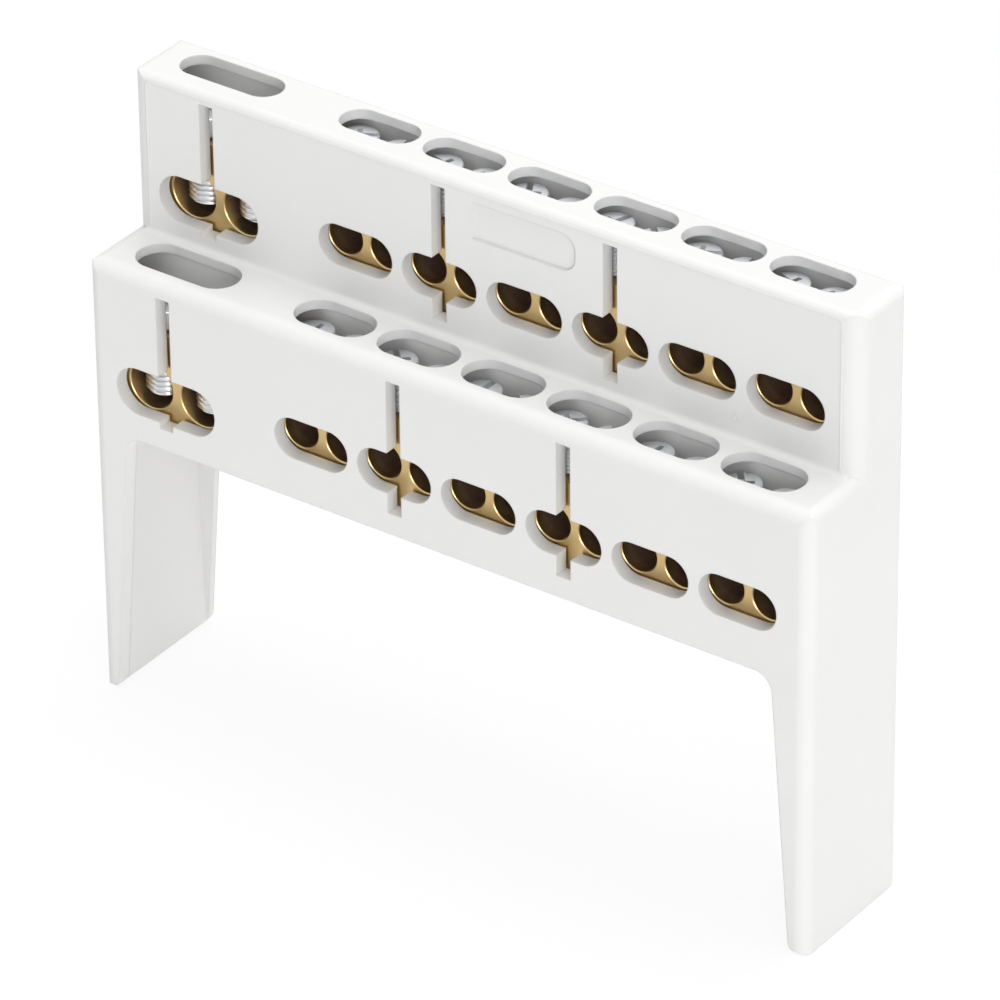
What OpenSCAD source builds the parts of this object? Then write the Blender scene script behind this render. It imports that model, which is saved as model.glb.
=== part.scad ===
// Two-tier earth terminal bar: a one-piece moulded carrier on two legs
// holds two brass bars, one behind and above the other. Each bar has
// cross tunnels for wires and a clamp screw over every tunnel.
// Millimetres. X runs along the bars, the wires enter from -Y, Z is up.
// The origin is the middle of the footprint, on the surface it stands on.

/* [Terminals] */
// Number of small terminal pairs in each tier
pairs = 6; // [3:1:7]
// Distance from one small pair to the next
pair_pitch = 14; // [13.6:0.2:17]
// Distance between the two screws of a small pair
screw_gap = 7; // [6.6:0.1:7.2]
// Distance from the main terminal's middle to the first small pair
main_offset = 25; // [23:0.5:32]
// Distance between the two main screws
main_gap = 8.8; // [8.4:0.1:9.4]

/* [Brass bars] */
// Diameter of a small wire tunnel
tunnel_d = 5.6; // [4.6:0.1:5.8]
// Diameter of a main wire tunnel
main_tunnel_d = 7.3; // [6.8:0.1:7.8]
// How far the main tunnels' axes lie below the small ones
main_drop = 1.7; // [1:0.05:2.1]
// Chamfer round each tunnel's mouth
mouth = 0.15; // [0.1:0.05:0.4]
// Bar size from front to back
bar_depth = 7.2; // [6.6:0.1:9]
// Height of the bar above the small tunnels' axes
bar_over = 7; // [6:0.1:7.4]
// Depth of the bar below the small tunnels' axes
bar_under = 7; // [6.6:0.1:7.6]

/* [Screws] */
// Thread diameter of a small clamp screw
screw_d = 4; // [3:0.5:4.5]
// Shank length of a small clamp screw, under its head
screw_l = 8.8; // [8:0.1:9.2]
// Head diameter of a small clamp screw
head_d = 5.6; // [5:0.1:6.2]
// Head height of a small clamp screw
head_h = 2.4; // [2:0.1:3]
// Thread diameter of a main clamp screw
main_screw_d = 6; // [5:0.5:6.5]
// Shank length of a main clamp screw, under its head
main_screw_l = 11; // [10.8:0.1:13]
// Head diameter of a main clamp screw
main_head_d = 7; // [6.6:0.1:7.2]
// Head height of a main clamp screw
main_head_h = 2.8; // [2:0.1:3.5]
// Width of the driver slot in a small head
driver_slot = 0.9; // [0.6:0.1:1.2]
// Radial room of a thread in its tapped hole
thread_play = 0.02; // [0.01:0.01:0.05]
// Room between a screw's tip and the tunnel it clamps in
tip_gap = 0.1; // [0.05:0.05:0.3]

/* [Carrier walls] */
// Thickness of each tier's front wall
front_wall = 2.3; // [1.6:0.1:2.6]
// Thickness of the plate over the screws
top_wall = 1.5; // [1:0.05:1.8]
// Thickness of the end walls
end_wall = 1.4; // [1.2:0.1:2]
// Thickness of the rear wall
rear_wall = 1.1; // [1:0.1:2]
// Room between the front wall and the bar behind it
bar_stand = 0.3; // [0.2:0.05:1]
// Room for the bar at its back and ends
bar_play = 0.1; // [0.05:0.05:0.2]
// Main terminal's middle to the outside of its end wall
main_margin = 13; // [11.3:0.1:15]
// Last small pair's middle to the outside of its end wall
pair_margin = 11.4; // [9:0.1:15]
// Lower tunnels' axes to the top of the lower plate
lower_over = 17; // [16:0.05:19]
// Upper tunnels' axes to the top of the upper plate
upper_over = 16.45; // [16:0.05:19]
// Lower tunnels' axes to the bottom edge of the body
skirt = 9.6; // [9:0.1:12]
// Rise from the lower tier to the upper tier
tier_rise = 25.25; // [22:0.05:30]
// Step back from the lower front to the upper front
tier_step = 11; // [10.2:0.1:14]

/* [Openings] */
// Length of a small slot in the front wall
slot_l = 12.4; // [12.2:0.05:13]
// Height of a small slot in the front wall
slot_h = 6.3; // [5.8:0.1:6.6]
// Length of a main slot in the front wall
main_slot_l = 17; // [16.4:0.1:18]
// Height of a main slot in the front wall
main_slot_h = 7.3; // [6.9:0.1:8]
// Length of a small slot in the top plate
well_l = 12.4; // [11:0.1:12.6]
// Length of a main slot in the top plate
main_well_l = 16.6; // [14:0.1:17]
// Width of the slots in the lower tier's top plate
lower_well_w = 6.9; // [5.4:0.1:7]
// Width of the slots in the upper tier's top plate
upper_well_w = 5.8; // [5.4:0.1:7]
// Width of the upright slits in the front wall
slit_w = 2.3; // [1.4:0.1:2.6]
// Height of a slit above the tunnels' axes
slit_over = 14.5; // [12:0.1:14.8]
// Depth of a slit below the tunnels' axes
slit_under = 6.3; // [5.6:0.1:6.4]

/* [Legs] */
// Height of the legs under the body
leg_h = 43.2; // [25:0.1:60]
// Width of a leg's flange where it meets the body
leg_root = 6; // [5:0.1:9]
// Width of a leg's flange at the foot
leg_tip = 2.7; // [2.6:0.1:4]
// Thickness of a leg's web at the foot
foot_wall = 2.5; // [1.6:0.1:2.5]
// Fillet between the body's bottom edge and a leg
arch_r = 2.8; // [1:0.1:4]

/* [Edges] */
// Radius of the lower tier's front top edge
lower_edge_r = 2.2; // [1:0.1:2.4]
// Radius of the upper tier's front top edge
upper_edge_r = 1.2; // [0.6:0.1:2]
// Radius of the lower tier's upright front corners
lower_corner_r = 2; // [1:0.1:2.4]
// Radius of the upper tier's upright front corners
upper_corner_r = 2.8; // [1:0.1:3]
// Radius of the top edges at both ends
end_edge_r = 1.6; // [0.6:0.1:2]
// Radius of the rear edges
soft_r = 0.8; // [0.4:0.1:1]
// Fillet where the upper front meets the lower plate
step_r = 0.8; // [0.3:0.1:1]
// Radius of a foot's inner edge
foot_r = 1.8; // [0.4:0.1:2]
// Radius of a foot's front corner
toe_r = 1.1; // [0.5:0.1:1.6]
// Radius of a foot's rear corner
heel_r = 2; // [0.5:0.1:3]

/* [Badge place] */
// Length of the bare recess for a badge on the upper front
badge_l = 16.8; // [10:0.1:20]
// Height of the recess
badge_h = 5.6; // [3:0.1:6]
// Depth of the recess
badge_deep = 0.4; // [0.2:0.05:0.6]
// Corner radius at the recess's right end
badge_r = 2.2; // [0.5:0.1:2.5]
// Upper tunnels' axes to the recess's bottom edge
badge_up = 8.3; // [7.6:0.1:9]

/* [Hidden] */
$fn = 48;
eps = 0.01;
big = 300;
pairs_l = (pairs - 1) * pair_pitch;
body_l = main_margin + main_offset + pairs_l + pair_margin;
tier_d = front_wall + bar_stand + bar_depth + bar_play + rear_wall;
body_d = tier_step + tier_d;
half_l = body_l / 2;
front_y = -body_d / 2;
lower_z = leg_h + skirt;
upper_z = lower_z + tier_rise;
lower_top = lower_z + lower_over;
body_h = upper_z + upper_over;
main_x = main_margin - half_l;
first_x = main_x + main_offset;
tier_y = [front_y, front_y + tier_step];
tier_z = [lower_z, upper_z];
tier_top = [lower_top, body_h];
well_w = [lower_well_w, upper_well_w];
pair_x = [for (k = [0:pairs - 1]) first_x + k * pair_pitch];
slit_x = concat([main_x], [for (k = [1:2:pairs - 2]) pair_x[k]]);
bridge_x = [for (k = [0:pairs - 2]) pair_x[k] + pair_pitch / 2];
main_bridge_x = (main_x + main_slot_l / 2 + first_x - slot_l / 2) / 2;
screw_x = [for (x = pair_x, s = [-1, 1]) x + s * screw_gap / 2];
main_screw_x = [for (s = [-1, 1]) main_x + s * main_gap / 2];
bar_front = front_wall + bar_stand;
screw_y = bar_front + bar_depth / 2;
trough_back = bar_front + bar_depth + bar_play;
bar_l = body_l - 2 * (end_wall + bar_play);
screw_seat = tunnel_d / 2 + tip_gap + screw_l;
main_reach = sqrt(pow(main_tunnel_d / 2, 2) - pow(main_screw_d / 2, 2)) - tip_gap;
main_seat = main_screw_l - main_drop - main_reach;
tiers = ["lower", "upper"];
small_names = [for (t = tiers, i = [1:2 * pairs]) str(t, "_screw_", i)];
main_names = [for (t = tiers, i = [1:2]) str(t, "_main_screw_", i)];

// A prism drawn in X and Z that runs from y0 to y1
module along_y(y0, y1) {
    translate([0, y1, 0]) rotate([90, 0, 0]) linear_extrude(y1 - y0) children();
}

// A prism drawn in Y and Z that runs from x0 to x1
module along_x(x0, x1) {
    translate([x0, 0, 0]) rotate([90, 0, 90]) linear_extrude(x1 - x0) children();
}

// What a radius r takes off a square corner at the origin of quadrant +,+
module corner_waste(r, past = 1) {
    difference() {
        translate([-past, -past]) square(r + past);
        translate([r, r]) circle(r);
    }
}

// A bar with round ends, l long and w wide, from z0 to z1
module stadium(l, w, z0, z1) {
    for (s = [-1, 1])
        translate([s * (l - w) / 2, 0, z0]) cylinder(d = w, h = z1 - z0);
    translate([-(l - w) / 2, -w / 2, z0]) cube([l - w, w, z1 - z0]);
}

// The side outline of tier t, in Y and Z, down to the ground
module side_outline(t) {
    rear = front_y + body_d;
    edge_r = [lower_edge_r, upper_edge_r];
    difference() {
        translate([tier_y[t], 0]) square([rear - tier_y[t], tier_top[t]]);
        translate([tier_y[t], tier_top[t]]) mirror([0, 1]) corner_waste(edge_r[t]);
        translate([rear, tier_top[t]]) rotate(180) corner_waste(soft_r);
    }
}

// What rounds the inner edges of both feet, in X and Z
module foot_waste(tip, lean) {
    below = 1;
    mid_x = tip - foot_r * tan(lean) + foot_r / cos(lean);
    touch_x = mid_x - foot_r * cos(lean);
    touch_z = foot_r - foot_r * sin(lean);
    for (s = [0, 1]) mirror([s, 0]) difference() {
        polygon([[touch_x - below, touch_z], [touch_x, touch_z], [mid_x, foot_r],
                 [mid_x, -below], [tip - below, -below]]);
        translate([mid_x, foot_r]) circle(foot_r);
    }
}

// The gap between the legs, in X and Z, with a fillet in each top corner
module arch_outline() {
    root = half_l - leg_root;
    tip = half_l - leg_tip;
    lean = atan((tip - root) / leg_h);
    round_z = leg_h - arch_r;
    round_x = root + arch_r * tan(lean) - arch_r / cos(lean);
    touch_x = round_x + arch_r * cos(lean);
    touch_z = round_z + arch_r * sin(lean);
    below = 1;
    tip_x = tip + below * tan(lean);
    polygon([[-round_x, leg_h], [round_x, leg_h], [touch_x, touch_z],
             [tip_x, -below], [-tip_x, -below], [-touch_x, touch_z]]);
    for (s = [-1, 1]) translate([s * round_x, round_z]) circle(arch_r);
    foot_waste(tip, lean);
}

// The hollow between the front and rear flanges of both legs, in X and Z
module leg_hollow_outline() {
    root = half_l - end_wall;
    tip = half_l - foot_wall;
    polygon([[-root, leg_h + 1], [root, leg_h + 1], [root, leg_h],
             [tip, -1], [-tip, -1], [-root, leg_h]]);
}

// The hollow of one tier, open below, that its bar is pushed up into
module trough(t) {
    translate([-half_l + end_wall, tier_y[t] + front_wall, leg_h - 1])
        cube([body_l - 2 * end_wall, trough_back - front_wall,
              tier_top[t] - top_wall - leg_h + 1]);
}

// A slot in the front wall of tier t, round at its ends
module wire_slot(t, x, z, l, h) {
    translate([x, tier_y[t], z]) rotate([90, 0, 0]) stadium(l, h, -front_wall - eps, 1);
}

// A slot in the top plate of tier t, over its screws
module screw_slot(t, x, l) {
    translate([x, tier_y[t] + screw_y, tier_top[t]])
        stadium(l, well_w[t], -top_wall - eps, 1);
}

// Slots of one tier: wire slots, screw slots and slits
module tier_slots(t) {
    for (x = pair_x) {
        wire_slot(t, x, tier_z[t], slot_l, slot_h);
        screw_slot(t, x, well_l);
    }
    wire_slot(t, main_x, tier_z[t] - main_drop, main_slot_l, main_slot_h);
    screw_slot(t, main_x, main_well_l);
    for (x = slit_x)
        translate([x - slit_w / 2, tier_y[t] - 1, tier_z[t] - slit_under])
            cube([slit_w, front_wall + 1 + eps, slit_over + slit_under]);
}

// What holds a bar in one tier: ribs that it stands off from the front
// wall, stops over it and snap lugs under it
module bar_seats(y, z) {
    rib_w = 1.1;
    stop_h = 2.5;
    stop_reach = 1.4;
    lug_w = 3;
    lug_reach = 1;
    lug_h = 1.8;
    for (x = concat(bridge_x, [main_bridge_x])) {
        translate([x - rib_w / 2, y + front_wall - eps, z - bar_under])
            cube([rib_w, bar_stand + eps, bar_under + bar_over + stop_h]);
        translate([x - rib_w / 2, y + front_wall - eps, z + bar_over])
            cube([rib_w, bar_stand + stop_reach + eps, stop_h]);
    }
    for (x = [bridge_x[0], bridge_x[pairs - 2], main_bridge_x]) {
        front = y + front_wall - eps;
        back = y + trough_back + eps;
        along_x(x - lug_w / 2, x + lug_w / 2)
            translate([0, z - bar_under])
                polygon([[front, 0], [front + bar_stand + lug_reach, 0], [front, -lug_h]]);
        along_x(x - lug_w / 2, x + lug_w / 2)
            translate([0, z - bar_under])
                polygon([[back, 0], [back, -lug_h], [back - bar_play - lug_reach, 0]]);
    }
}

// The fillet at the foot of the upper front, which turns with its corners
// and slopes off where the lower tier's end edge begins
module step_fillet() {
    past = top_wall / 2;
    step = front_y + tier_step;
    turn_x = half_l - upper_corner_r;
    end_x = half_l - min(end_edge_r, upper_corner_r - step_r);
    along_x(-turn_x, turn_x)
        translate([step, lower_top]) mirror([1, 0]) corner_waste(step_r, past);
    for (s = [0, 1]) mirror([s, 0, 0]) intersection() {
        translate([turn_x, step + upper_corner_r, lower_top])
            rotate_extrude() translate([upper_corner_r, 0]) corner_waste(step_r, past);
        along_y(step - step_r - past, step + upper_corner_r)
            polygon([[turn_x, lower_top - past], [end_x, lower_top - past], [end_x, lower_top],
                     [end_x - step_r, lower_top + step_r], [turn_x, lower_top + step_r]]);
    }
}

// The bare place for a badge, square at its left end
module badge_outline() {
    difference() {
        square([badge_l, badge_h]);
        translate([badge_l, 0]) mirror([1, 0]) corner_waste(badge_r);
        translate([badge_l, badge_h]) rotate(180) corner_waste(badge_r);
    }
}

// One tier from outside, with its end edges and upright corners rounded
module tier_block(t) {
    corner_r = [lower_corner_r, upper_corner_r];
    rear = front_y + body_d;
    difference() {
        along_x(-half_l, half_l) side_outline(t);
        for (s = [0, 1]) mirror([s, 0, 0]) {
            translate([-half_l, tier_y[t], -1]) linear_extrude(big) corner_waste(corner_r[t]);
            along_y(tier_y[t] - 1, rear + 1)
                translate([-half_l, tier_top[t]]) mirror([0, 1]) corner_waste(end_edge_r);
        }
    }
}

// The outside of the carrier on its two legs
module shell() {
    rear = front_y + body_d;
    difference() {
        union() {
            tier_block(0);
            tier_block(1);
            step_fillet();
        }
        along_x(-half_l - 1, half_l + 1) {
            translate([front_y, 0]) corner_waste(toe_r);
            translate([rear, 0]) mirror([1, 0]) corner_waste(heel_r);
        }
        along_y(front_y - 1, rear + 1) arch_outline();
        for (s = [0, 1]) mirror([s, 0, 0]) translate([-half_l, rear, -1]) mirror([0, 1, 0])
            linear_extrude(big) corner_waste(soft_r);
    }
}

// The carrier: one white moulding of both tiers and both legs
module housing() {
    badge_x = pair_x[floor(pairs / 2) - 1];
    color([0.93, 0.93, 0.92])
    union() {
        difference() {
            shell();
            along_y(front_y + front_wall, front_y + body_d - rear_wall) leg_hollow_outline();
            for (t = [0, 1]) {
                trough(t);
                tier_slots(t);
            }
            along_y(tier_y[1] - 1, tier_y[1] + badge_deep)
                translate([badge_x - badge_l / 2, upper_z + badge_up]) badge_outline();
        }
        for (t = [0, 1]) bar_seats(tier_y[t], tier_z[t]);
    }
}

// A wire tunnel along Y through the bar, with chamfered mouths
module tunnel(d) {
    rotate([-90, 0, 0]) {
        translate([0, 0, -1]) cylinder(d = d, h = bar_depth + 2);
        translate([0, 0, -eps]) cylinder(r1 = d / 2 + mouth + eps, r2 = d / 2, h = mouth + eps);
        translate([0, 0, bar_depth - mouth])
            cylinder(r1 = d / 2, r2 = d / 2 + mouth + eps, h = mouth + eps);
    }
}

// A brass bar with its tunnels and the tapped holes over them
module bar(t) {
    y = tier_y[t] + bar_front;
    z = tier_z[t];
    color([0.78, 0.64, 0.33])
    difference() {
        translate([-bar_l / 2, y, z - bar_under])
            cube([bar_l, bar_depth, bar_under + bar_over]);
        for (x = screw_x) {
            translate([x, y, z]) tunnel(tunnel_d);
            translate([x, y + bar_depth / 2, z])
                cylinder(r = screw_d / 2 + thread_play, h = bar_over + 1);
        }
        for (x = main_screw_x) {
            translate([x, y, z - main_drop]) tunnel(main_tunnel_d);
            translate([x, y + bar_depth / 2, z - main_drop])
                cylinder(r = main_screw_d / 2 + thread_play, h = main_drop + bar_over + 1);
        }
    }
}

// A clamp screw with its head's underside at z = 0 and its tip down,
// a driver slot across the head and a cross recess in its middle
module screw(d, l, hd, hh, slot) {
    edge = 0.3;
    slot_deep = hh * 0.45;
    cross_l = hd * 0.62;
    cross_w = slot * 0.8;
    cross_deep = hh * 0.75;
    color([0.80, 0.82, 0.84])
    difference() {
        rotate_extrude()
            polygon([[0, -l], [d / 2 - edge, -l], [d / 2, -l + edge], [d / 2, 0],
                     [hd / 2, 0], [hd / 2, hh - edge], [hd / 2 - edge, hh], [0, hh]]);
        translate([-hd / 2 - 1, -slot / 2, hh - slot_deep]) cube([hd + 2, slot, hh]);
        for (a = [0, 90]) rotate(a)
            translate([-cross_l / 2, -cross_w / 2, hh - cross_deep])
                cube([cross_l, cross_w, hh]);
    }
}

// Each screw was left at its own turn
function turn(i, t) = (i * 67 + t * 31) % 180;

module small_screw(t, i) {
    translate([screw_x[i], tier_y[t] + screw_y, tier_z[t] + screw_seat])
        rotate(turn(i, t)) screw(screw_d, screw_l, head_d, head_h, driver_slot);
}

module main_screw(t, i) {
    translate([main_screw_x[i], tier_y[t] + screw_y, tier_z[t] + main_seat])
        rotate(turn(i + 1, t))
            screw(main_screw_d, main_screw_l, main_head_d, main_head_h, driver_slot * 1.3);
}

housing();
bar(0);  // lower_bar
bar(1);  // upper_bar
for (t = [0, 1], i = [0, 1])
    main_screw(t, i);
for (t = [0, 1], i = [0:2 * pairs - 1])
    small_screw(t, i);
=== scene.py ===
import math

import bmesh
import bpy
from mathutils import Matrix, Vector


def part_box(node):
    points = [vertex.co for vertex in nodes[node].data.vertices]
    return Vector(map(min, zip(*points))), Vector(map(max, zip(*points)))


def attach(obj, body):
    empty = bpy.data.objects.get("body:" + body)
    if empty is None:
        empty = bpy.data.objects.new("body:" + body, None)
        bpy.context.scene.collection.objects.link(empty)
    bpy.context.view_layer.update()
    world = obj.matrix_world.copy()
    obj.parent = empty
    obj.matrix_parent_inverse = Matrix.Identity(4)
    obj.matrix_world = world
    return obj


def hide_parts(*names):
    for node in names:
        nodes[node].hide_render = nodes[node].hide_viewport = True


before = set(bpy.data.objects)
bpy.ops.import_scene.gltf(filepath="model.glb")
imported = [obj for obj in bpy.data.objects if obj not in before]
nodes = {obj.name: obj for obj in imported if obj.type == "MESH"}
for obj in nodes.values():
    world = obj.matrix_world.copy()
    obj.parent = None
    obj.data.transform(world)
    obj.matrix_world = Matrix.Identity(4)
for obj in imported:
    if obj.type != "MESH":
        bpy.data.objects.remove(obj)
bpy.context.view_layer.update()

# ---------------------------------------------------------------------------
# The carrier: one moulding of both tiers and both legs, shot in white
# polyamide. It comes out of the mould smooth, with a soft sheen and its
# edges eased a little.
# ---------------------------------------------------------------------------
mm = 0.001


def colour(code):
    """A linear RGBA colour from an sRGB hex code."""
    parts = [int(code[i : i + 2], 16) / 255 for i in (1, 3, 5)]
    return [c / 12.92 if c <= 0.04045 else ((c + 0.055) / 1.055) ** 2.4 for c in parts] + [1]


def add(tree, kind, inputs=None, **settings):
    """Adds a node with its settings, its input values and its links."""
    made = tree.nodes.new("ShaderNode" + kind)
    for name, value in settings.items():
        setattr(made, name, value)
    for name, value in (inputs or {}).items():
        if isinstance(value, bpy.types.NodeSocket):
            tree.links.new(value, made.inputs[name])
        else:
            made.inputs[name].default_value = value
    return made


def new_material(name):
    """An empty material and its tree, ready for a surface shader."""
    made = bpy.data.materials.new(name)
    made.use_nodes = True
    made.node_tree.nodes.clear()
    return made, made.node_tree


def dress(piece, material):
    """Gives a piece one material all over."""
    piece.data.materials.clear()
    piece.data.materials.append(material)


# Moulded polyamide: the eye gets an even white, soft broad reflections and
# a bright hairline where an edge is eased. The flow of the melt leaves slow
# waves, and the mould's own grain is finer than the 0.35 mm drawn here.
white_moulding, tree = new_material("polyamide_moulded_white")
place = add(tree, "TexCoord").outputs["Object"]
flow_size, flow_depth = 16 * mm, 0.05 * mm
flow = add(tree, "TexNoise", {"Vector": place, "Scale": 1 / flow_size, "Detail": 2.0})
skin_grain, skin_depth = 0.35 * mm, 0.004 * mm
skin = add(tree, "TexNoise", {"Vector": place, "Scale": 1 / skin_grain, "Detail": 3.0})
tint = add(
    tree,
    "MixRGB",
    {"Fac": flow.outputs["Fac"], "Color1": colour("#E4E4E3"), "Color2": colour("#E8E8E7")},
)
sheen = add(tree, "MapRange", {"Value": skin.outputs["Fac"], "To Min": 0.37, "To Max": 0.45})
eased_edge = 0.3 * mm
edges = add(tree, "Bevel", {"Radius": eased_edge}, samples=6)
waves = add(
    tree,
    "Bump",
    {"Height": flow.outputs["Fac"], "Distance": flow_depth, "Strength": 0.35,
     "Normal": edges.outputs["Normal"]},
)
grain = add(
    tree,
    "Bump",
    {"Height": skin.outputs["Fac"], "Distance": skin_depth, "Strength": 0.5,
     "Normal": waves.outputs["Normal"]},
)
surface = add(
    tree,
    "BsdfPrincipled",
    {"Base Color": tint.outputs["Color"], "Roughness": sheen.outputs["Result"],
     "IOR": 1.53, "Normal": grain.outputs["Normal"]},
)
add(tree, "OutputMaterial", {"Surface": surface.outputs["BSDF"]})
dress(nodes["housing"], white_moulding)


def set_out(piece):
    """Puts a new piece in the scene."""
    bpy.context.scene.collection.objects.link(piece)


def as_mesh(made, name):
    """The mesh of a shape that is fully made."""
    mesh = bpy.data.meshes.new(name)
    made.to_mesh(mesh)
    made.free()
    return mesh


def ridge(name, path, profile, loop):
    """A low ridge swept along a path on the upper front, with its foot in it.

    The profile gives (towards the inside of the path's bend, out of the face).
    """
    made = bmesh.new()
    normal = Vector((0, -1, 0))
    last = len(path) - 1
    rows = []
    for i, point in enumerate(path):
        ahead = Vector(path[(i + 1) % (last + 1) if loop else min(i + 1, last)])
        behind = Vector(path[i - 1 if loop else max(i - 1, 0)])
        inside = (ahead - behind).normalized().cross(normal).normalized()
        rows.append(
            [made.verts.new(Vector(point) + inside * side + normal * out) for side, out in profile]
        )
    count = len(profile)
    for one, two in zip(rows, rows[1:] + rows[:1] if loop else rows[1:]):
        for k in range(count):
            n = (k + 1) % count
            made.faces.new((one[k], two[k], two[n], one[n]))
    if not loop:
        made.faces.new(rows[0])
        made.faces.new(list(reversed(rows[-1])))
    bmesh.ops.recalc_face_normals(made, faces=made.faces)
    piece = bpy.data.objects.new(name, as_mesh(made, name))
    set_out(piece)
    dress(piece, white_moulding)
    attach(piece, "root")


# The mould parts round the upper front and leaves a fine witness line
# where its corners begin to turn, and the runner leaves a gate mark.
shell_low, shell_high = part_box("housing")
tier_step, corner_turn, top_turn = 11 * mm, 2.8 * mm, 1.2 * mm
step_top, step_fillet = 69.8 * mm, 0.8 * mm
face_y = shell_low.y + tier_step
line_left, line_right = shell_low.x + corner_turn, shell_high.x - corner_turn
line_foot, line_head = step_top + step_fillet, shell_high.z - top_turn
bend, bend_steps = 0.6 * mm, 6
line_path = [(line_left, face_y, line_foot)]
for centre_x, start in ((line_left + bend, 180), (line_right - bend, 90)):
    for i in range(bend_steps + 1):
        a = math.radians(start - 90 * i / bend_steps)
        line_path.append(
            (centre_x + bend * math.cos(a), face_y, line_head - bend + bend * math.sin(a))
        )
line_path.append((line_right, face_y, line_foot))
foot = -0.2 * mm
line_out, line_in, line_rise = -0.26 * mm, 0.13 * mm, 0.07 * mm
line_profile = [
    (line_out, foot), (line_out, -0.01 * mm), (-0.03 * mm, line_rise),
    (0.06 * mm, line_rise), (line_in, 0), (line_in, foot),
]
ridge("mould_parting_line", line_path, line_profile, False)

gate_x, gate_z, gate_r, gate_sides = 40.5 * mm, 73.1 * mm, 0.45 * mm, 24
gate_path = []
for i in range(gate_sides):
    a = math.tau * i / gate_sides
    gate_path.append((gate_x + gate_r * math.cos(a), face_y, gate_z - gate_r * math.sin(a)))
gate_half, gate_rise = 0.12 * mm, 0.05 * mm
gate_profile = [
    (-gate_half, foot), (-gate_half, 0), (0, gate_rise), (gate_half, 0), (gate_half, foot),
]
ridge("mould_gate_mark", gate_path, gate_profile, True)

# ---------------------------------------------------------------------------
# The terminal bars: brass drawn to a square section, then cross drilled
# for the wires and tapped for the screws. Each is pushed up into its tier
# from below and snaps over the lugs.
# ---------------------------------------------------------------------------

# Drawn brass: the eye gets fine straight lines along the bar, a warm satin glow on the
# faces, and dull bores that painted shade turns brown. The lines of a real die are
# finer than the 0.12 mm drawn here.
drawn_brass, tree = new_material("brass_drawn")
coordinates = add(tree, "TexCoord")
place = coordinates.outputs["Object"]
line_length, line_width = 14 * mm, 0.12 * mm
along = add(
    tree,
    "Mapping",
    {"Vector": place, "Scale": (1 / line_length, 1 / line_width, 1 / line_width)},
)
lines = add(tree, "TexNoise", {"Vector": along.outputs["Vector"], "Scale": 1.0, "Detail": 3.0})
stain_size = 5 * mm
stain = add(tree, "TexNoise", {"Vector": place, "Scale": 1 / stain_size, "Detail": 4.0})
tint = add(
    tree,
    "MixRGB",
    {"Fac": stain.outputs["Fac"], "Color1": colour("#D8BE8C"), "Color2": colour("#CCAF79")},
)
satin = add(tree, "MapRange", {"Value": lines.outputs["Fac"], "To Min": 0.26, "To Max": 0.42})
# The drill left the bores rough and dull. Painted shade browns the brass the deeper it
# lies behind the bar's front, for the shade inside the bores.
bar_low, bar_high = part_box("lower_bar")
bar_depth = bar_high.y - bar_low.y
shade_starts, shade_full = 0.35 * mm, 2.4 * mm
inwards = add(tree, "SeparateXYZ", {"Vector": coordinates.outputs["Generated"]})
deep_shade_and_dullness = add(
    tree,
    "MapRange",
    {"Value": inwards.outputs["Y"], "From Min": shade_starts / bar_depth,
     "From Max": shade_full / bar_depth},
)
# Painted shade: deep in the bar the brass colour goes over to this dark brown.
shade = add(
    tree,
    "MixRGB",
    {"Fac": deep_shade_and_dullness.outputs["Result"], "Color1": tint.outputs["Color"],
     "Color2": colour("#8C7464")},
)
dullness = add(
    tree,
    "MapRange",
    {"Value": deep_shade_and_dullness.outputs["Result"], "To Min": satin.outputs["Result"], "To Max": 0.6},
)
eased_edge, line_depth = 0.12 * mm, 0.01 * mm
edges = add(tree, "Bevel", {"Radius": eased_edge}, samples=4)
scratches = add(
    tree,
    "Bump",
    {"Height": lines.outputs["Fac"], "Distance": line_depth, "Strength": 0.5,
     "Normal": edges.outputs["Normal"]},
)
surface = add(
    tree,
    "BsdfPrincipled",
    {"Base Color": shade.outputs["Color"], "Metallic": 1.0,
     "Roughness": dullness.outputs["Result"], "Normal": scratches.outputs["Normal"]},
)
add(tree, "OutputMaterial", {"Surface": surface.outputs["BSDF"]})
tiers = ("lower", "upper")
for tier in tiers:
    dress(nodes[tier + "_bar"], drawn_brass)

# ---------------------------------------------------------------------------
# The clamp screws: steel, cold headed and thread rolled, then bright zinc
# plated. Each has a slot and a cross in its head, is driven down from above
# and stands at its own turn.
# ---------------------------------------------------------------------------

# Bright zinc on steel: the eye gets a cool silver with soft reflections,
# a patchy polish and faint rings on the heads.
zinc_plate, tree = new_material("steel_bright_zinc_plated")
place = add(tree, "TexCoord").outputs["Object"]
height = add(tree, "SeparateXYZ", {"Vector": place}).outputs["Z"]
ring_gap, ring_depth = 1.38 * mm, 0.006 * mm
wave_pace = 20  # radians that the wave runs through in one unit
rings = add(
    tree,
    "TexWave",
    {"Vector": place, "Scale": math.tau / (wave_pace * ring_gap), "Distortion": 1.5,
     "Detail": 2.0},
    wave_type="RINGS",
    rings_direction="Z",
)
mottle_size = 0.9 * mm
mottle = add(tree, "TexNoise", {"Vector": place, "Scale": 1 / mottle_size, "Detail": 3.0})
tint = add(
    tree,
    "MixRGB",
    {"Fac": mottle.outputs["Fac"], "Color1": colour("#F3F4F5"), "Color2": colour("#DFE2E6")},
)
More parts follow.
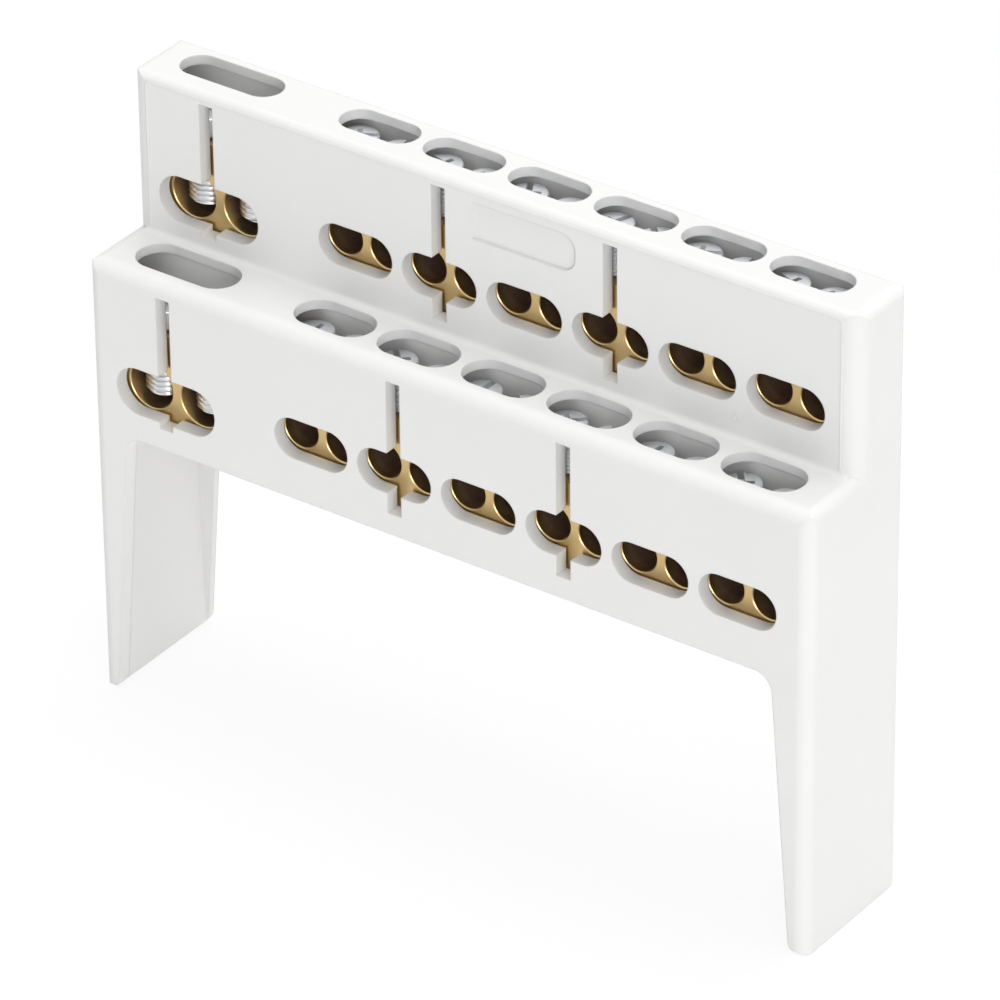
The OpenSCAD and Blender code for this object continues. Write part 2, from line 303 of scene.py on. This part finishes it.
# The rolled threads stay bright, and the heads, struck and tumbled, go matt
# from just under the head, where z = 0.
under_head = -0.1 * mm
matt_head = add(
    tree,
    "MapRange",
    {"Value": height, "From Min": under_head, "From Max": 0, "To Min": 0.24, "To Max": 0.36},
)
polish = add(
    tree,
    "Math",
    {0: mottle.outputs["Fac"], 1: 0.16, 2: matt_head.outputs["Result"]},
    operation="MULTIPLY_ADD",
)
turned = add(
    tree,
    "Bump",
    {"Height": rings.outputs["Fac"], "Distance": ring_depth, "Strength": 0.4},
)
surface = add(
    tree,
    "BsdfPrincipled",
    {"Base Color": tint.outputs["Color"], "Metallic": 1.0,
     "Roughness": polish.outputs[0], "Normal": turned.outputs["Normal"]},
)
add(tree, "OutputMaterial", {"Surface": surface.outputs["BSDF"]})


def turned_solid(name, outline, sides):
    """A solid turned round Z from an outline of (radius, height) pairs."""
    made = bmesh.new()
    rows = []
    for radius, z in outline:
        angles = [math.tau * k / sides for k in range(sides if radius else 1)]
        rows.append(
            [made.verts.new((radius * math.cos(a), radius * math.sin(a), z)) for a in angles]
        )
    for below, above in zip(rows, rows[1:]):
        for k in range(sides):
            n = (k + 1) % sides
            if len(below) == 1:
                made.faces.new((below[0], above[n], above[k]))
            elif len(above) == 1:
                made.faces.new((below[k], below[n], above[0]))
            else:
                made.faces.new((below[k], below[n], above[n], above[k]))
    bmesh.ops.recalc_face_normals(made, faces=made.faces)
    return bpy.data.objects.new(name, as_mesh(made, name))


def threaded_shank(diameter, length, pitch, sides):
    """A rolled thread below z = 0, pointed a little at its tip."""
    rows_a_turn = 9
    depth = 0.54 * pitch
    flank_slope, crest_flat = 2.4, 0.1
    tip, tip_cut = 0.5 * mm, 0.9
    count = round(length / pitch * rows_a_turn)
    made = bmesh.new()
    rows = []
    for i in range(count + 1):
        z = -length * (1 - i / count)
        row = []
        for k in range(sides):
            phase = (z / pitch - k / sides) % 1
            groove = min(1, max(0, flank_slope * abs(phase - 0.5) - crest_flat))
            near_tip = max(0, 1 - (z + length) / tip)
            radius = diameter / 2 - depth * max(groove, tip_cut * near_tip)
            angle = math.tau * k / sides
            row.append(made.verts.new((radius * math.cos(angle), radius * math.sin(angle), z)))
        rows.append(row)
    for below, above in zip(rows, rows[1:]):
        for k in range(sides):
            n = (k + 1) % sides
            made.faces.new((below[k], below[n], above[n], above[k]))
    made.faces.new(list(reversed(rows[0])))
    made.faces.new(rows[-1])
    return bpy.data.objects.new("shank", as_mesh(made, "shank"))


def punch(head, length, width, tall, deep):
    """Strikes a straight slot down into a head that stands from z = 0 to tall."""
    made = bmesh.new()
    bmesh.ops.create_cube(made, size=1)
    spot = Matrix.Translation((0, 0, 1.5 * tall - deep))
    size = Matrix.Diagonal((length, width, tall, 1))
    bmesh.ops.transform(made, matrix=spot @ size, verts=made.verts)
    die = bpy.data.objects.new("die", as_mesh(made, "die"))
    set_out(die)
    strike = head.modifiers.new("strike", "BOOLEAN")
    strike.operation = "DIFFERENCE"
    strike.solver = "EXACT"
    strike.object = die
    bpy.context.view_layer.update()
    struck = head.evaluated_get(bpy.context.evaluated_depsgraph_get())
    mesh = bpy.data.meshes.new_from_object(struck)
    head.modifiers.clear()
    head.data = mesh
    bpy.data.objects.remove(die)


def clamp_screw_mesh(node, thread, shank, pitch, slot, sides):
    """One screw that fills the box of its CAD node, underside of head at z = 0."""
    low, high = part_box(node)
    radius = (high.x - low.x) / 2
    tall = high.z - low.z - shank
    soft, soft_steps = 0.28 * mm, 5
    # The underside is sunk a hair into the shank, and the face dips a hair.
    sunk, dip = -0.02 * mm, 0.024 * mm
    outline = [(0, sunk), (radius - soft / 2, sunk), (radius, soft / 2)]
    for i in range(soft_steps + 1):
        a = math.pi / 2 * i / soft_steps
        outline.append((radius - soft + soft * math.cos(a), tall - soft + soft * math.sin(a)))
    outline += [(radius / 2, tall - dip), (0, tall)]
    head = turned_solid("head", outline, sides)
    set_out(head)
    slot_deep, cross_deep = 0.45 * tall, 0.72 * tall
    cross_length, cross_width = 1.24 * radius, 0.8 * slot
    punch(head, 3 * radius, slot, tall, slot_deep)
    punch(head, cross_length, cross_width, tall, cross_deep)
    punch(head, cross_width, cross_length, tall, cross_deep)
    threads = threaded_shank(thread, shank, pitch, sides)
    made = bmesh.new()
    for piece in (head, threads):
        made.from_mesh(piece.data)
        bpy.data.objects.remove(piece)
    mesh = as_mesh(made, "clamp_screw")
    sharp_turn = math.radians(35)
    mesh.set_sharp_from_angle(angle=sharp_turn)
    mesh.polygons.foreach_set("use_smooth", [True] * len(mesh.polygons))
    return mesh


def seat_screw(name, turn, mesh, shank):
    """Puts a copy of the screw on its CAD screw, at its own turn."""
    low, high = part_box(name)
    piece = bpy.data.objects.new("threaded_" + name, mesh.copy())
    piece.data.transform(Matrix.Rotation(math.radians(turn % 180), 4, "Z"))
    set_out(piece)
    piece.location = ((low.x + high.x) / 2, (low.y + high.y) / 2, low.z + shank)
    dress(piece, zinc_plate)
    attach(piece, "root")
    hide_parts(name)


main_thread, main_shank, main_pitch, main_slot = 6 * mm, 11 * mm, 0.8 * mm, 1.17 * mm
small_thread, small_shank, small_pitch, small_slot = 4 * mm, 8.8 * mm, 0.7 * mm, 0.9 * mm
main_sides, small_sides = 64, 48
main_mesh = clamp_screw_mesh(
    "lower_main_screw_1", main_thread, main_shank, main_pitch, main_slot, main_sides
)
small_mesh = clamp_screw_mesh(
    "lower_screw_1", small_thread, small_shank, small_pitch, small_slot, small_sides
)
mains, smalls = 2, 12
screw_turn, tier_turn = 67, 31
for t, tier in enumerate(tiers):
    for i in range(1, mains + 1):
        turn = i * screw_turn + t * tier_turn
        seat_screw(f"{tier}_main_screw_{i}", turn, main_mesh, main_shank)
    for i in range(1, smalls + 1):
        turn = (i - 1) * screw_turn + t * tier_turn
        seat_screw(f"{tier}_screw_{i}", turn, small_mesh, small_shank)

# ---------------------------------------------------------------------------
# The stage: a wide white floor that takes the shadow, big soft lamps as in
# a product studio, and a long lens well back from the part.
# ---------------------------------------------------------------------------
floor_mesh = bpy.data.meshes.new("floor")
reach = 4.0
floor_mesh.from_pydata(
    [(-reach, -reach, 0), (reach, -reach, 0), (reach, reach, 0), (-reach, reach, 0)],
    [],
    [(0, 1, 2, 3)],
)
floor = bpy.data.objects.new("floor", floor_mesh)
set_out(floor)


def looked_at(tree):
    """One where the lens or a polished face looks, and nought for stray light."""
    rays = add(tree, "LightPath").outputs
    sight = {0: rays["Is Camera Ray"], 1: rays["Is Glossy Ray"]}
    return add(tree, "Math", sight, operation="MAXIMUM").outputs[0]


# Painted white board: matt, and seen by the lens and in the metal as a
# lit white sweep that still takes the part's shadow.
white_board, tree = new_material("board_painted_white")
board_lift = 0.88
share = add(tree, "Math", {0: looked_at(tree), 1: board_lift}, operation="MULTIPLY")
paint = add(tree, "BsdfDiffuse", {"Color": colour("#FCFCFC")})
lit = add(tree, "Emission", {"Color": colour("#FFFFFF"), "Strength": 1.0})
both = add(
    tree,
    "MixShader",
    {"Fac": share.outputs[0], 1: paint.outputs["BSDF"], 2: lit.outputs["Emission"]},
)
add(tree, "OutputMaterial", {"Surface": both.outputs["Shader"]})
dress(floor, white_board)

# The room is a light tent, dim at its sides and bright above. The lens and
# the polished faces see it plain white.
world = bpy.data.worlds.new("studio")
world.use_nodes = True
tree = world.node_tree
tree.nodes.clear()
around = add(tree, "TexCoord")
upwards = add(tree, "SeparateXYZ", {"Vector": around.outputs["Generated"]})
side_light, top_light, full_height = 0.17, 0.64, 0.75
room = add(
    tree,
    "MapRange",
    {"Value": upwards.outputs["Z"], "From Max": full_height, "To Min": side_light,
     "To Max": top_light},
)
level = add(
    tree,
    "MapRange",
    {"Value": looked_at(tree), "To Min": room.outputs["Result"], "To Max": 1.0},
)
sky = add(tree, "Background", {"Color": colour("#FFFFFF"), "Strength": level.outputs["Result"]})
add(tree, "OutputWorld", {"Surface": sky.outputs["Background"]})
bpy.context.scene.world = world


def soft_box(name, spot, size, power):
    """A square soft lamp that is turned to the middle of the carrier."""
    lamp = bpy.data.lights.new(name, "AREA")
    lamp.shape = "SQUARE"
    lamp.size = size
    lamp.energy = power
    holder = bpy.data.objects.new(name, lamp)
    set_out(holder)
    holder.location = spot
    towards = (shell_low + shell_high) / 2 - Vector(spot)
    holder.rotation_euler = towards.to_track_quat("-Z", "Y").to_euler()


soft_box("overhead", spot=(0.08, 0.1, 1.1), size=0.9, power=7.7)
soft_box("right_front", spot=(1.6, -1.35, 0.5), size=1.0, power=17.5)

# The lens stands right of the front and above it.
swing, height_angle, lean = map(math.radians, (35.834, 31.697, -0.632))
distance, aim_across, aim_up = 1.0579, 9.98 * mm, 55.15 * mm
aim = Vector((aim_across, shell_low.y, shell_low.z + aim_up))
back = Vector(
    (
        math.sin(swing) * math.cos(height_angle),
        -math.cos(swing) * math.cos(height_angle),
        math.sin(height_angle),
    )
)
level_right = back.cross(Vector((0, 0, -1))).normalized()
level_up = back.cross(level_right)
right = level_right * math.cos(lean) + level_up * math.sin(lean)
up = level_up * math.cos(lean) - level_right * math.sin(lean)
lens = bpy.data.cameras.new("camera")
lens.lens = 284.4
lens.sensor_width = 36.0
lens.clip_end = 20.0
camera = bpy.data.objects.new("camera", lens)
camera.matrix_world = Matrix.Translation(aim + back * distance) @ Matrix(
    (
        (right.x, up.x, back.x, 0),
        (right.y, up.y, back.y, 0),
        (right.z, up.z, back.z, 0),
        (0, 0, 0, 1),
    )
)
set_out(camera)
bpy.context.scene.camera = camera
bpy.context.scene.view_settings.view_transform = "Standard"
